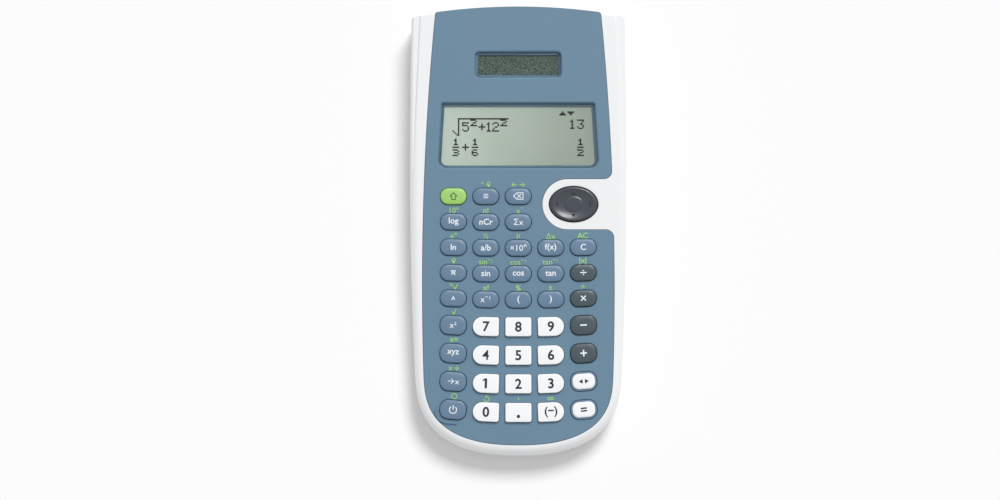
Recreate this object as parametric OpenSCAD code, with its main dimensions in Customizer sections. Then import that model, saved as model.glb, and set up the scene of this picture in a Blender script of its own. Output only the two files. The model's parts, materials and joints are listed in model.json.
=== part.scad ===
// Hand-held scientific calculator: two shells, a face panel, 41 keys and a rocking cursor pad.
// Millimetres. The origin is on the table under the middle of the body, +Y is the display end.

/* [Body] */
// Length of the body, from the nose to the display end
body_l = 171.8; // [165:0.2:200]
// Width of the body at its widest
body_w = 83; // [80:0.5:100]
// Height of the face above the table, at the middle
face_h = 15.6; // [14:0.1:22]
// Slope of the face, in degrees, up towards the display
face_tilt = 1.8; // [0:0.1:3]
// Thickness of the shell walls
wall = 1.8; // [1.2:0.1:2.4]
// Depth of the joint between the shells below the face
split_depth = 6.5; // [6:0.1:8]
// Radius of the shoulder round the face
shoulder_r = 3.2; // [1.5:0.1:3.6]
// Radius of the lower edge of the rear case
base_r = 3; // [1:0.1:4]
// Width of the shoulder between the body's edge and the face panel, at the middle
band_w = 5; // [4.6:0.1:6.5]

/* [Face panel] */
// Thickness of the face panel
panel_t = 2; // [1.6:0.1:2.4]
// Width of the ledge that the panel rests on
ledge_w = 2.4; // [1.6:0.1:2.4]
// Thickness of the ledge and of the cursor pad's deck
ledge_t = 1.6; // [1:0.1:2]
// Depth of the windows below the face
window_depth = 0.6; // [0.2:0.1:0.8]
// Thickness of the two windows
window_t = 0.8; // [0.5:0.1:1]
// Width of the rim that carries each window
rim_w = 1; // [0.6:0.1:1.4]

/* [Display] */
// Width of the display window at its lower edge
lcd_w = 61; // [54:0.5:61]
// Height of the display window
lcd_h = 25; // [20:0.5:26]
// Place of the display window's middle along the face
lcd_y = 35.75; // [35.75:0.05:37]
// Width of the solar window
solar_w = 32.9; // [24:0.1:40]
// Height of the solar window
solar_h = 9.8; // [8:0.1:10.4]
// Place of the solar window's middle along the face
solar_y = 63.25; // [62.5:0.05:65]

/* [Keys] */
// Distance between the key columns
pitch_x = 12.35; // [12.2:0.05:12.6]
// Distance between the rows of function keys
pitch_y = 9.9; // [9.6:0.05:10]
// Distance between the rows of number keys
number_pitch = 10.8; // [10.2:0.05:10.9]
// Place of the upper key row along the face
first_row_y = 12.15; // [11.75:0.05:12.35]
// Width of a key
key_w = 10; // [9:0.1:10.3]
// Length of a function key
key_l = 6.3; // [5.4:0.1:6.6]
// Length of a number key
number_l = 7.3; // [6.4:0.1:7.6]
// Height of a function key above the face
key_rise = 1.1; // [1:0.1:1.6]
// Height of a number key above the face
number_rise = 1.4; // [1:0.1:1.8]
// Rise of the outer keys of the lowest row above its middle key
smile = 1.1; // [0:0.1:1.2]
// Distance that a key travels
key_travel = 1; // [0.6:0.1:1.2]
// Gap between a key and its hole
key_gap = 0.25; // [0.15:0.05:0.4]

/* [Cursor pad] */
// Width of the cursor pad
pad_w = 18.1; // [16:0.1:18.4]
// Length of the cursor pad
pad_l = 13.2; // [11:0.1:13.6]
// Place of the cursor pad's middle across the face
pad_x = 21.1; // [20.6:0.1:21.6]
// Place of the cursor pad's middle along the face
pad_y = 9.15; // [8.95:0.05:9.55]
// Height of the cursor pad's rim above the face
pad_rise = 0.9; // [0.7:0.1:1.4]
// Diameter of the cross pins that the pad rocks on
cross_d = 1.4; // [1.2:0.1:1.6]

/* [Inside] */
// Thickness of the circuit board
board_t = 1.2; // [0.8:0.1:1.6]
// Thickness of the keypad sheet
sheet_t = 0.6; // [0.4:0.1:1]
// Diameter of a keypad dome at its foot
dome_d = 5.5; // [4.5:0.1:6]
// Diameter of the coin cell
cell_d = 20; // [16:1:23]
// Thickness of the coin cell
cell_t = 3.2; // [2:0.1:3.2]
// Thread diameter of the case screws
case_screw_d = 2.2; // [2:0.1:2.6]
// Thread diameter of the board screws
board_screw_d = 1.6; // [1.4:0.1:1.8]
// Diameter of a foot
foot_d = 8; // [6:0.1:10]
// Distance that a foot stands out of the rear case
foot_rise = 0.6; // [0.4:0.1:1]

/* [Hidden] */
$fn = 48;

// Outlines. The body and the panel are barrel-shaped with a full, blunt nose.
nose_y = -body_l / 2;
body_end = body_l / 2 - 0.3;
body_nose = 32;
panel_w = body_w - 2 * band_w;
panel_end = body_l / 2;
panel_nose_y = nose_y + 3.5;
panel_nose = 27.5;
end_r = 227;
body_mid_y = 29;
panel_mid_y = -18;
// Radii of the sides below and above the widest place.
body_radii = [1600, 3400];
panel_radii = [1100, 1100];
body_nose_power = 0.42;
panel_nose_power = 0.42;
body_corner_r = 1.2;
panel_corner_r = 0.8;
nose_steps = 16;
side_steps = 12;

// Heights, all measured from the face downwards.
fit_gap = 0.15;
rest_gap = 0.15;
ledge_z = -panel_t - ledge_t;
flange_w = 0.6;
flange_t = 0.85;
flange_z = -panel_t - rest_gap - flange_t;
stem_d = 4;
stem_l = 0.6;
stem_z = flange_z - stem_l;
dome_room = 1.4;
board_top = flange_z - key_travel - dome_room - sheet_t;
board_z = board_top - board_t;
sheet_z = board_top + sheet_t;
dome_top = stem_z - rest_gap;
window_z = -window_depth - window_t;
floor_z = foot_rise + wall;

// Keys: [name, row, column from the middle, outline, face colour]
blue = "#64809A";
white = "#F4F4F2";
dark = "#4A525C";
green = "#9ECF70";
KEYS = [
    ["key_shift", 0, -2, "round", green],
    ["key_mode", 0, -1, "round", blue],
    ["key_delete", 0, 0, "round", blue],
    ["key_log", 1, -2, "round", blue],
    ["key_probability", 1, -1, "round", blue],
    ["key_data", 1, 0, "round", blue],
    ["key_ln", 2, -2, "round", blue],
    ["key_fraction", 2, -1, "round", blue],
    ["key_exponent", 2, 0, "round", blue],
    ["key_table", 2, 1, "round", blue],
    ["key_clear", 2, 2, "round", blue],
    ["key_pi", 3, -2, "round", blue],
    ["key_sin", 3, -1, "round", blue],
    ["key_cos", 3, 0, "round", blue],
    ["key_tan", 3, 1, "round", blue],
    ["key_divide", 3, 2, "round", dark],
    ["key_power", 4, -2, "round", blue],
    ["key_inverse", 4, -1, "round", blue],
    ["key_open_bracket", 4, 0, "round", blue],
    ["key_close_bracket", 4, 1, "round", blue],
    ["key_multiply", 4, 2, "round", dark],
    ["key_square", 5, -2, "oval", blue],
    ["key_7", 5, -1, "left", white],
    ["key_8", 5, 0, "box", white],
    ["key_9", 5, 1, "right", white],
    ["key_minus", 5, 2, "oval", dark],
    ["key_variable", 6, -2, "oval", blue],
    ["key_4", 6, -1, "left", white],
    ["key_5", 6, 0, "box", white],
    ["key_6", 6, 1, "right", white],
    ["key_plus", 6, 2, "oval", dark],
    ["key_store", 7, -2, "oval", blue],
    ["key_1", 7, -1, "left", white],
    ["key_2", 7, 0, "box", white],
    ["key_3", 7, 1, "right", white],
    ["key_answer", 7, 2, "oval", white],
    ["key_on", 8, -2, "oval", blue],
    ["key_0", 8, -1, "left", white],
    ["key_point", 8, 0, "box", white],
    ["key_negative", 8, 1, "right", white],
    ["key_enter", 8, 2, "oval", white],
];

// Key rows bend into a shallow smile, and each key turns to follow it.
last_function_row = 4;
last_row = 8;
outer_x = 2 * pitch_x;
row_step = (pitch_y + number_pitch) / 2;
function row_y(r) = first_row_y - pitch_y * min(r, last_function_row)
    - (r > last_function_row ? row_step + number_pitch * (r - last_function_row - 1) : 0);
function row_smile(r) = smile * r / last_row;
function key_x(k) = pitch_x * k[2];
function key_y(k) = row_y(k[1]) + row_smile(k[1]) * pow(key_x(k) / outer_x, 2);
function key_turn(k) = atan(2 * row_smile(k[1]) * key_x(k) / pow(outer_x, 2));
function is_number(k) = k[1] > last_function_row && abs(k[2]) < 2;
function key_len(k) = k[1] > last_function_row ? number_l : key_l;
function key_height(k) = is_number(k) ? number_rise : key_rise;

// Fasteners and supports, each a list of [x, y] on the face.
case_screw_y = [-62, 6, 75];
function body_half(y) = outline_half(y, body_w, body_mid_y, body_radii, nose_y, body_nose, body_nose_power);
boss_d = case_screw_d + 3.4;
screw_inset = boss_d / 2 + 2.8;
case_screw_places = [for (y = case_screw_y, s = [-1, 1]) [s * (body_half(y) - screw_inset), y]];
case_seat_z = -10.2;
case_head_d = case_screw_d + 2;
case_head_t = 1.4;
case_tip_z = ledge_z - 0.3;
post_d = board_screw_d + 1.6;
post_gap = 0.4;
under_lcd_y = lcd_y - lcd_h / 2 - 4.9;
over_lcd_y = (lcd_y + lcd_h / 2 + solar_y - solar_h / 2) / 2;
under_keys_y = row_y(last_row) - number_l / 2 - 2.5;
between_rows_y = (row_y(3) + row_y(4)) / 2;
post_places = [
    [-27, over_lcd_y], [27, over_lcd_y],
    [-27, under_lcd_y], [pitch_x / 2, under_lcd_y],
    [-1.5 * pitch_x, between_rows_y], [1.5 * pitch_x, between_rows_y],
    [-pitch_x, under_keys_y], [pitch_x, under_keys_y],
];
board_screw_head_d = 3.2;
board_screw_head_t = 1;
foot_t = 1.2;
foot_places = [[-27, 66], [27, 66], [-25, -56], [25, -56]];
rest_places = [[0, row_y(4) - row_step / 2], [0, row_y(7) - number_pitch / 2]];

// Cursor pad: its cross pins and the post that carries them.
cross_z = -1.35;
seat_gap = 0.08;
seat_post_d = 3.6;
pad_bore_d = seat_post_d + 1.2;
pad_skirt = 3;
pad_dish = 0.7;
pad_rim = 1.1;
pad_hole_gap = 0.4;
island_r = 9.6;
island_x = pad_x - 2.2;
lobe_r = 3;

// Cell and its clip, under the board.
cell_y = 62;
cell_gap = 0.2;
clip_t = 0.4;
clip_w = 6;
cell_top = board_z - cell_gap;
cell_z = cell_top - cell_t;

// Half width of a barrel outline at one place along it; t runs from 0 to 1 in the nose.
function outline_half(y, w, mid_y, radii, end_y, nose, power) =
    let (t = min(1, max(0, (end_y + nose - y) / nose)))
    (w / 2 - pow(y - mid_y, 2) / (2 * radii[y > mid_y ? 1 : 0])) * pow(1 - pow(t, 3), power);

// Places along the outline, close together at the tip of the nose.
function outline_ys(end_y, nose, top_y) = concat(
    [for (i = [0:nose_steps]) end_y + nose * pow(i / nose_steps, 2.6)],
    [for (i = [1:side_steps]) end_y + nose + (top_y - end_y - nose) * i / side_steps]
);

module barrel_2d(w, mid_y, radii, end_y, nose, power, top_y) {
    ys = outline_ys(end_y, nose, top_y);
    half = [for (y = ys) [outline_half(y, w, mid_y, radii, end_y, nose, power), y]];
    n = len(half);
    intersection() {
        polygon(concat(half, [for (i = [n - 1:-1:1]) [-half[i][0], half[i][1]]]));
        translate([0, top_y - end_r]) circle(end_r, $fn = 360);
    }
}

// The body's outline, drawn in by inset along its sides and by end_inset at the display end.
module body_2d(inset = 0, end_inset) {
    top_y = body_end + (is_undef(end_inset) ? 0 : inset - end_inset);
    offset(r = body_corner_r) offset(delta = -body_corner_r - inset)
        barrel_2d(body_w, body_mid_y, body_radii, nose_y, body_nose, body_nose_power, top_y);
}

module whole_panel_2d() {
    offset(r = panel_corner_r) offset(delta = -panel_corner_r)
        barrel_2d(panel_w, panel_mid_y, panel_radii, panel_nose_y, panel_nose, panel_nose_power, panel_end);
}

// The white island round the cursor pad, which joins the shoulder on the right.
module island_2d(grow = 0) {
    translate([island_x, pad_y]) circle(island_r + grow);
    translate([island_x, pad_y - island_r - grow]) square([body_w / 2 - island_x, 2 * (island_r + grow)]);
}

module panel_raw_2d() {
    difference() {
        whole_panel_2d();
        island_2d(fit_gap);
    }
}

module panel_2d() {
    offset(r = lobe_r) offset(delta = -lobe_r) panel_raw_2d();
    intersection() {
        panel_raw_2d();
        translate([-body_w / 2, solar_y]) square([body_w, body_l]);
    }
}

module oval_2d(w, l, grow = 0) {
    steps = 48;
    polygon([for (i = [0:steps - 1]) [(w / 2 + grow) * cos(i * 360 / steps), (l / 2 + grow) * sin(i * 360 / steps)]]);
}

// A rectangle with its own radius at the left and at the right, as a ring of points.
corner_steps = 6;
function corner(x, y, r, from) = [
    for (i = [0:corner_steps]) [x + r * cos(from + 90 * i / corner_steps), y + r * sin(from + 90 * i / corner_steps)]
];
function soft_box(w, l, left_r, right_r) = concat(
    corner(w / 2 - right_r, l / 2 - right_r, right_r, 0),
    corner(left_r - w / 2, l / 2 - left_r, left_r, 90),
    corner(left_r - w / 2, left_r - l / 2, left_r, 180),
    corner(w / 2 - right_r, right_r - l / 2, right_r, 270)
);

// A key's outline: a full round, a fuller oval, or square to its neighbour in the number block.
key_small_r = 0.9;
function full_r(k) = key_len(k) / 2 - (k[3] == "oval" ? 0.5 : 0.1);
function left_r(k) = k[3] == "box" || k[3] == "right" ? key_small_r : full_r(k);
function right_r(k) = k[3] == "box" || k[3] == "left" ? key_small_r : full_r(k);

module key_2d(k, grow = 0) {
    polygon(soft_box(key_w + 2 * grow, key_len(k) + 2 * grow, left_r(k) + grow, right_r(k) + grow));
}

module display_2d(grow = 0) {
    top_w = lcd_w - 2.4;
    top_r = 0.6;
    low_r = 3.2;
    offset(r = grow) hull() for (s = [-1, 1]) {
        translate([s * (top_w / 2 - top_r), lcd_h / 2 - top_r]) circle(top_r, $fn = 24);
        translate([s * (lcd_w / 2 - low_r), low_r - lcd_h / 2]) circle(low_r, $fn = 32);
    }
}

module solar_2d(grow = 0) {
    offset(r = grow + 1.6) square([solar_w - 3.2, solar_h - 3.2], center = true);
}

// Puts its children on the sloping face: z = 0 is the face, x and y run across and along it.
module on_face() {
    translate([0, 0, face_h]) rotate([face_tilt, 0, 0]) children();
}

module slab(z_low, z_high) {
    translate([0, 0, z_low]) linear_extrude(z_high - z_low) children();
}

module place_key(k) {
    translate([key_x(k), key_y(k), 0]) rotate([0, 0, key_turn(k)]) children();
}

module at(places) {
    for (p = places) translate([p[0], p[1], 0]) children();
}

// How far an edge of radius r has drawn in, h below its top.
function draw_in(r, h) = r - sqrt(r * r - pow(r - min(r, h), 2));

// Front case: shoulder, ledge for the panel with room for the keys' flanges, and the deck round the pad.
end_edge_r = 0.8;
rail_y = 22;
rail_start_w = 1.4;
rail_end_w = 3.4;
rail_depth = 0.9;

module front_outside() {
    steps = 5;
    sheet = 0.02;
    hull() {
        slab(-split_depth, -shoulder_r) body_2d();
        for (i = [0:steps]) {
            h = shoulder_r * pow(i / steps, 2);
            slab(-h - sheet, -h) body_2d(draw_in(shoulder_r, h), draw_in(end_edge_r, h));
        }
    }
}

// The ledge for a slide-on cover, which widens towards the display end.
module rail_cut() {
    steps = 8;
    end_y = body_l / 2 + 1;
    inner = [
        for (i = [0:steps])
            let (share = i / steps, y = rail_y + (end_y - rail_y) * share)
            [body_half(y) - rail_start_w - (rail_end_w - rail_start_w) * share, y]
    ];
    slab(-rail_depth, 1) for (s = [0, 1]) mirror([s, 0])
        polygon(concat(inner, [[body_w, end_y], [body_w, rail_y]]));
}

module front_case() {
    color(white) on_face() {
        difference() {
            front_outside();
            slab(-split_depth - 1, ledge_z) body_2d(wall);
            slab(-split_depth - 1, 1) difference() {
                offset(delta = -ledge_w) whole_panel_2d();
                island_2d(ledge_w);
            }
            slab(-panel_t, 1) offset(delta = fit_gap) panel_2d();
            for (k = KEYS) place_key(k) slab(-split_depth - 1, -panel_t) key_2d(k, flange_w + key_gap);
            slab(-split_depth, 1) translate([pad_x, pad_y]) oval_2d(pad_w, pad_l, pad_hole_gap);
            rail_cut();
        }
        difference() {
            slab(-split_depth, ledge_z) intersection() {
                at(case_screw_places) circle(boss_d / 2);
                body_2d(wall / 2);
            }
            at(case_screw_places) translate([0, 0, -split_depth - 1])
                cylinder(d = case_screw_d + 0.1, h = case_tip_z + 0.2 + split_depth + 1);
        }
    }
}

// Rear case: a tray with screw bosses, board rests, the cursor pad's post and pockets for the feet.
module rear_outside() {
    steps = 5;
    sheet = 0.02;
    top = face_h + body_l * sin(face_tilt);
    intersection() {
        on_face() slab(-face_h - body_l, -split_depth) body_2d();
        hull() {
            translate([0, 0, foot_rise + base_r]) linear_extrude(top) body_2d(-0.6);
            for (i = [0:steps]) {
                h = base_r * pow(i / steps, 2);
                translate([0, 0, foot_rise + h]) linear_extrude(sheet) body_2d(draw_in(base_r, h));
            }
        }
    }
}

module rear_inside() {
    intersection() {
        on_face() slab(-face_h, 1 - split_depth) body_2d(wall);
        translate([0, 0, floor_z]) linear_extrude(face_h + body_l) body_2d(wall);
    }
}

module above_floor() {
    intersection() {
        on_face() children();
        translate([-body_w, -body_l, floor_z - wall / 2]) cube([2 * body_w, 2 * body_l, 3 * face_h]);
    }
}

module rear_case() {
    rib_t = 1.2;
    rib_h = 2.4;
    color(white) difference() {
        union() {
            difference() {
                rear_outside();
                rear_inside();
            }
            above_floor() {
                slab(-face_h - body_l / 20, -split_depth) intersection() {
                    at(case_screw_places) circle(boss_d / 2);
                    body_2d(wall / 2);
                }
                slab(-face_h - body_l / 20, board_z) at(rest_places) circle(2);
                slab(-face_h, cross_z) translate([pad_x, pad_y]) circle(seat_post_d / 2);
            }
            for (x = [-pitch_x, pitch_x])
                translate([x - rib_t / 2, -body_l / 4, floor_z - wall / 2]) cube([rib_t, body_l / 3, rib_h]);
        }
        on_face() {
            at(case_screw_places) {
                translate([0, 0, -face_h - body_l / 20]) cylinder(d = case_screw_d + 0.4, h = face_h + body_l / 20);
                translate([0, 0, case_seat_z - face_h]) cylinder(d = case_head_d + 0.6, h = face_h);
            }
            translate([pad_x, pad_y, cross_z]) {
                rotate([0, 90, 0]) cylinder(d = cross_d + 2 * seat_gap, h = 2 * seat_post_d, center = true);
                rotate([90, 0, 0]) cylinder(d = cross_d + 0.8, h = 2 * seat_post_d, center = true);
            }
        }
        at(foot_places) translate([0, 0, -1]) cylinder(d = foot_d + 2 * fit_gap, h = foot_t + 1);
    }
}

// Face panel: a plate with a hole for each key and a rimmed recess for each window.
module face_panel() {
    ridge_w = 0.7;
    ridge_out = 1.1;
    ridge_rise = 0.5;
    on_key = KEYS[36];
    color(blue) on_face() {
        difference() {
            slab(-panel_t, 0) panel_2d();
            for (k = KEYS) place_key(k) slab(-panel_t - 1, 1) key_2d(k, key_gap);
            slab(window_z, 1) translate([0, lcd_y]) display_2d();
            slab(-panel_t - 1, 1) translate([0, lcd_y]) display_2d(-rim_w);
            slab(window_z, 1) translate([0, solar_y]) solar_2d();
            slab(-panel_t - 1, 1) translate([0, solar_y]) solar_2d(-rim_w);
        }
        slab(-0.2, ridge_rise) intersection() {
            panel_2d();
            place_key(on_key) difference() {
                key_2d(on_key, ridge_out + ridge_w);
                key_2d(on_key, ridge_out);
                translate([-key_w, 0]) square(2 * key_w);
                translate([key_w / 5, -key_w]) square(2 * key_w);
            }
        }
        difference() {
            at(post_places) translate([0, 0, board_top]) cylinder(d = post_d, h = -panel_t - board_top);
            at(post_places) translate([0, 0, board_top - 1])
                cylinder(d = board_screw_d + 0.1, h = -panel_t - board_top);
        }
    }
}

module display_window() {
    color("#DDE6E4", 0.4) on_face()
        slab(window_z, -window_depth) translate([0, lcd_y]) display_2d(-fit_gap / 2);
}

module solar_window() {
    color("#DDE6E4", 0.4) on_face()
        slab(window_z, -window_depth) translate([0, solar_y]) solar_2d(-fit_gap / 2);
}

module solar_cell() {
    cell_glass_t = 1.1;
    margin = 1;
    lead_d = 0.7;
    back_z = -panel_t - cell_glass_t;
    color("#4A5848") on_face() translate([0, solar_y]) {
        slab(back_z, -panel_t) square([solar_w + 2 * margin, solar_h + 2 * margin], center = true);
        for (s = [-1, 1]) translate([s * solar_w / 3, solar_h / 3, board_top])
            cylinder(d = lead_d, h = back_z - board_top);
    }
}

// Display glass, held against the panel by its frame.
lcd_t = 2.2;
lcd_z = -panel_t - lcd_t;
lcd_edge = 0.6;
lcd_low_y = lcd_y - lcd_h / 2 - 1.4;
lcd_high_y = lcd_y + lcd_h / 2 + 1.3;

module lcd_glass() {
    color("#B9C4B0") on_face() slab(lcd_z, -panel_t)
        translate([-lcd_w / 2 - lcd_edge, lcd_low_y]) square([lcd_w + 2 * lcd_edge, lcd_high_y - lcd_low_y]);
}

module lcd_frame() {
    bar = 3.5;
    lip = 0.5;
    lip_h = 0.4;
    outer_w = lcd_w + 2 * lcd_edge + 2 * lip + 0.2;
    length = lcd_high_y - lcd_low_y + lip + 0.1;
    color("#ECECEA") on_face() {
        slab(board_top, lcd_z) translate([-outer_w / 2, lcd_low_y]) difference() {
            square([outer_w, length]);
            translate([bar, bar]) square([outer_w - 2 * bar, length - 2 * bar]);
        }
        slab(lcd_z - 0.1, lcd_z + lip_h) translate([-outer_w / 2, lcd_low_y]) difference() {
            square([outer_w, length]);
            translate([lip, -1]) square([outer_w - 2 * lip, length - lip + 1]);
        }
    }
}

module lcd_ribbon() {
    ribbon_t = 0.2;
    foot_l = 1.7;
    top_z = -panel_t - 0.4;
    color("#B58A3C") on_face() translate([-lcd_w * 0.4, lcd_low_y, 0]) rotate([90, 0, 90])
        linear_extrude(lcd_w * 0.8) polygon([
            [0, board_top], [0, top_z], [-ribbon_t, top_z],
            [-ribbon_t, board_top + ribbon_t], [-foot_l, board_top + ribbon_t], [-foot_l, board_top]
        ]);
}

// Keypad sheet: one dome under each key and four under the cursor pad.
pad_dome_x = pad_w / 2 - 3.2;
pad_dome_y = pad_l / 2 - 2.6;
pad_dome_d = 3.4;
pad_dome_places = [[pad_dome_x, 0], [-pad_dome_x, 0], [0, pad_dome_y], [0, -pad_dome_y]];

module keypad_membrane() {
    edge = 5;
    top_y = row_y(0) + key_l / 2 + 1.2;
    low_y = row_y(last_row) - number_l / 2 - 0.3;
    color("#D6D2C8") on_face() {
        difference() {
            slab(board_top, sheet_z) intersection() {
                offset(delta = -edge) whole_panel_2d();
                translate([-body_w / 2, low_y]) square([body_w, top_y - low_y]);
            }
            at(post_places) translate([0, 0, board_top - 1]) cylinder(d = post_d + 2 * post_gap, h = 3);
            at(case_screw_places) translate([0, 0, board_top - 1]) cylinder(d = boss_d + 2 * post_gap, h = 3);
            translate([pad_x, pad_y, board_top - 1]) cylinder(d = seat_post_d + 1, h = 3);
        }
        for (k = KEYS) place_key(k) translate([0, 0, sheet_z - 0.1])
            cylinder(d1 = dome_d, d2 = stem_d - 0.6, h = dome_top - sheet_z + 0.1);
        translate([pad_x, pad_y, sheet_z - 0.1]) at(pad_dome_places)
            cylinder(d1 = pad_dome_d, d2 = pad_dome_d - 1.2, h = -pad_skirt - rest_gap - sheet_z + 0.1);
    }
}

module board_2d() {
    offset(delta = -4.5) whole_panel_2d();
}

module main_board() {
    color("#2F6B45") on_face() difference() {
        slab(board_z, board_top) board_2d();
        at(post_places) translate([0, 0, board_z - 1]) cylinder(d = board_screw_d + 0.3, h = board_t + 2);
        at(case_screw_places) translate([0, 0, board_z - 1]) cylinder(d = boss_d + 2 * post_gap, h = board_t + 2);
        translate([pad_x, pad_y, board_z - 1]) cylinder(d = seat_post_d + 1, h = board_t + 2);
    }
}

module processor_cap() {
    cap_d = 13;
    cap_t = 1.3;
    color("#1C1C1E") on_face() translate([0, lcd_y - 2, board_z - cap_t])
        cylinder(d1 = cap_d - 4, d2 = cap_d, h = cap_t);
}

module coin_cell() {
    can_step = 0.6;
    color("silver") on_face() translate([0, cell_y, cell_z]) {
        cylinder(d = cell_d, h = cell_t - can_step);
        cylinder(d = cell_d - 3, h = cell_t);
    }
}

module battery_clip() {
    reach = cell_d / 2 + cell_gap;
    color("#C8C9CC") on_face() translate([0, cell_y, 0]) {
        slab(cell_z - clip_t, cell_z) translate([-reach - clip_t, -clip_w / 2])
            square([2 * (reach + clip_t), clip_w]);
        for (s = [-1, 1]) translate([s * (reach + clip_t / 2), 0]) {
            slab(cell_z - clip_t, board_z) square([clip_t, clip_w], center = true);
            slab(board_z - clip_t, board_z) translate([s * clip_w / 3, 0]) square([clip_w * 2 / 3, clip_w], center = true);
        }
    }
}

module case_screws() {
    slot_d = 2;
    slot_depth = 0.8;
    color("#8E9094") on_face() at(case_screw_places) difference() {
        union() {
            translate([0, 0, case_seat_z]) cylinder(d = case_screw_d, h = case_tip_z - case_seat_z);
            translate([0, 0, case_seat_z - case_head_t]) cylinder(d = case_head_d, h = case_head_t);
        }
        translate([0, 0, case_seat_z - case_head_t + slot_depth / 2 - 0.5]) {
            cube([slot_d, 0.5, slot_depth + 1], center = true);
            cube([0.5, slot_d, slot_depth + 1], center = true);
        }
    }
}

module board_screws() {
    grip = 3.2;
    color("#8E9094") on_face() at(post_places) {
        translate([0, 0, board_z]) cylinder(d = board_screw_d, h = grip);
        translate([0, 0, board_z - board_screw_head_t]) cylinder(d = board_screw_head_d, h = board_screw_head_t);
    }
}

module rubber_feet() {
    color("#3A3A3C") at(foot_places) {
        cylinder(d = foot_d, h = foot_t);
    }
}

// The cross that the pad rocks on: one pin across lies in the post, one along carries the pad.
cross_across = seat_post_d;
cross_along = pad_bore_d + 2.2;

module nav_pivot() {
    color("#C9C9C4") on_face() translate([pad_x, pad_y, cross_z]) {
        rotate([0, 90, 0]) cylinder(d = cross_d, h = cross_across, center = true);
        rotate([90, 0, 0]) cylinder(d = cross_d, h = cross_along, center = true);
    }
}

module nav_pad() {
    snap_w = cross_d - 0.2;
    color("#3C4148") on_face() translate([pad_x, pad_y, 0]) difference() {
        union() {
            slab(-pad_skirt, pad_rise - pad_dish) oval_2d(pad_w, pad_l);
            slab(pad_rise - pad_dish, pad_rise) difference() {
                oval_2d(pad_w, pad_l, -0.3);
                oval_2d(pad_w, pad_l, -pad_rim);
            }
        }
        translate([0, 0, -pad_skirt - 1]) cylinder(d = pad_bore_d, h = pad_skirt + 1 + cross_z + cross_d / 2 + seat_gap);
        translate([0, 0, cross_z]) rotate([90, 0, 0])
            cylinder(d = cross_d + 2 * seat_gap, h = cross_along + 2 * seat_gap, center = true);
        translate([-snap_w / 2, -cross_along / 2 - seat_gap, -pad_skirt - 1])
            cube([snap_w, cross_along + 2 * seat_gap, pad_skirt + 1 + cross_z]);
    }
}

// A key: cap with an eased edge, flange that the panel holds in, and stem on its dome.
module key(k) {
    ease = 0.35;
    rise = key_height(k);
    skirt_w = k[3] == "oval" && k[4] == white ? 0.6 : 0;
    color(k[4]) on_face() place_key(k) {
        slab(flange_z, rise - ease) key_2d(k);
        slab(rise - ease, rise) key_2d(k, -ease - skirt_w);
        slab(flange_z, flange_z + flange_t) key_2d(k, flange_w);
        slab(stem_z, flange_z) circle(stem_d / 2, $fn = 32);
    }
}

rear_case();
front_case();
face_panel();
display_window();
solar_window();
solar_cell();
lcd_glass();
lcd_frame();
lcd_ribbon();
keypad_membrane();
main_board();
processor_cap();
coin_cell();
battery_clip();
case_screws();
board_screws();
rubber_feet();
nav_pivot();
nav_pad();
for (k = KEYS) key(k);
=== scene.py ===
# %% [markdown]
# # A hand-held scientific calculator
# This lesson models the looks of a calculator round a fixed frame. The frame is the engineering model:
# every piece of it already has its true size and place, and every key already has its joint. Our work is
# the finish: moulded edges, crowned keys, printed legends, the display and good materials.

# %% The frame
import json
import math

import bmesh
import bpy
from mathutils import Matrix, Vector, kdtree


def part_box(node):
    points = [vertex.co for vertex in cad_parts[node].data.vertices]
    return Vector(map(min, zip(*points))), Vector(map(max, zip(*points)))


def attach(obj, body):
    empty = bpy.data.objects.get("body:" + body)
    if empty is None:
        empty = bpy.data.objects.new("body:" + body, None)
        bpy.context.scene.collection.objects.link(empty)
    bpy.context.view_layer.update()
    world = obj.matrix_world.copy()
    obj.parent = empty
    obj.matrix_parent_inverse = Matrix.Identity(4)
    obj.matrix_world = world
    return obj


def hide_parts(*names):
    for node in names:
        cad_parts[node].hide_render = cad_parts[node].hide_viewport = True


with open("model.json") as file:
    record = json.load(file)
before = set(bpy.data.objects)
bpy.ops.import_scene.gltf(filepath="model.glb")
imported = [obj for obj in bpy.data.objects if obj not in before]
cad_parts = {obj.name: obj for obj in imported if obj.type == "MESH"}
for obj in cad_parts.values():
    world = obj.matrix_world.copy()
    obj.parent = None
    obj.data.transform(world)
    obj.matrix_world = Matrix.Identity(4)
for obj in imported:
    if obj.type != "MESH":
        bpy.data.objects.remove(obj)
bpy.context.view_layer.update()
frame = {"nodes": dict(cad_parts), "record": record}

# %% [markdown]
# ## Measures
# A calculator lies on the table as a wedge. Its face slopes up towards the display, so almost everything is
# easier to model on a flat face first and to tilt at the end. The slope is read from the frame: a key slides
# straight down into the face, so its joint's axis is the face's normal. We model in millimetres and turn
# them into Blender's metres at the last moment.

# %% The sloping face
MM = 0.001
joints = frame["record"]["behaviour"]["joints"]
press_axis = next(j["axis"] for j in joints if j["type"] == "slide")
tilt = math.atan2(press_axis[1], -press_axis[2])
panel_low, panel_high = [[c / MM for c in corner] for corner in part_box("face_panel")]
case_low, case_high = [[c / MM for c in corner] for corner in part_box("front_case")]
face_height = panel_high[2] - panel_high[1] * math.tan(tilt)
FACE = Matrix.Translation((0, 0, face_height * MM)) @ Matrix.Rotation(tilt, 4, "X")
print(f"slope {math.degrees(tilt):.2f} degrees, face {face_height:.2f} mm above the table")


def on_face_y(node, depth):
    """The place along the face of a node's middle, from its box. depth is how far below the face that is."""
    low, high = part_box(node)
    middle = (low[1] + high[1]) / 2 / MM
    return (middle - depth * math.sin(tilt)) / math.cos(tilt)


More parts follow.
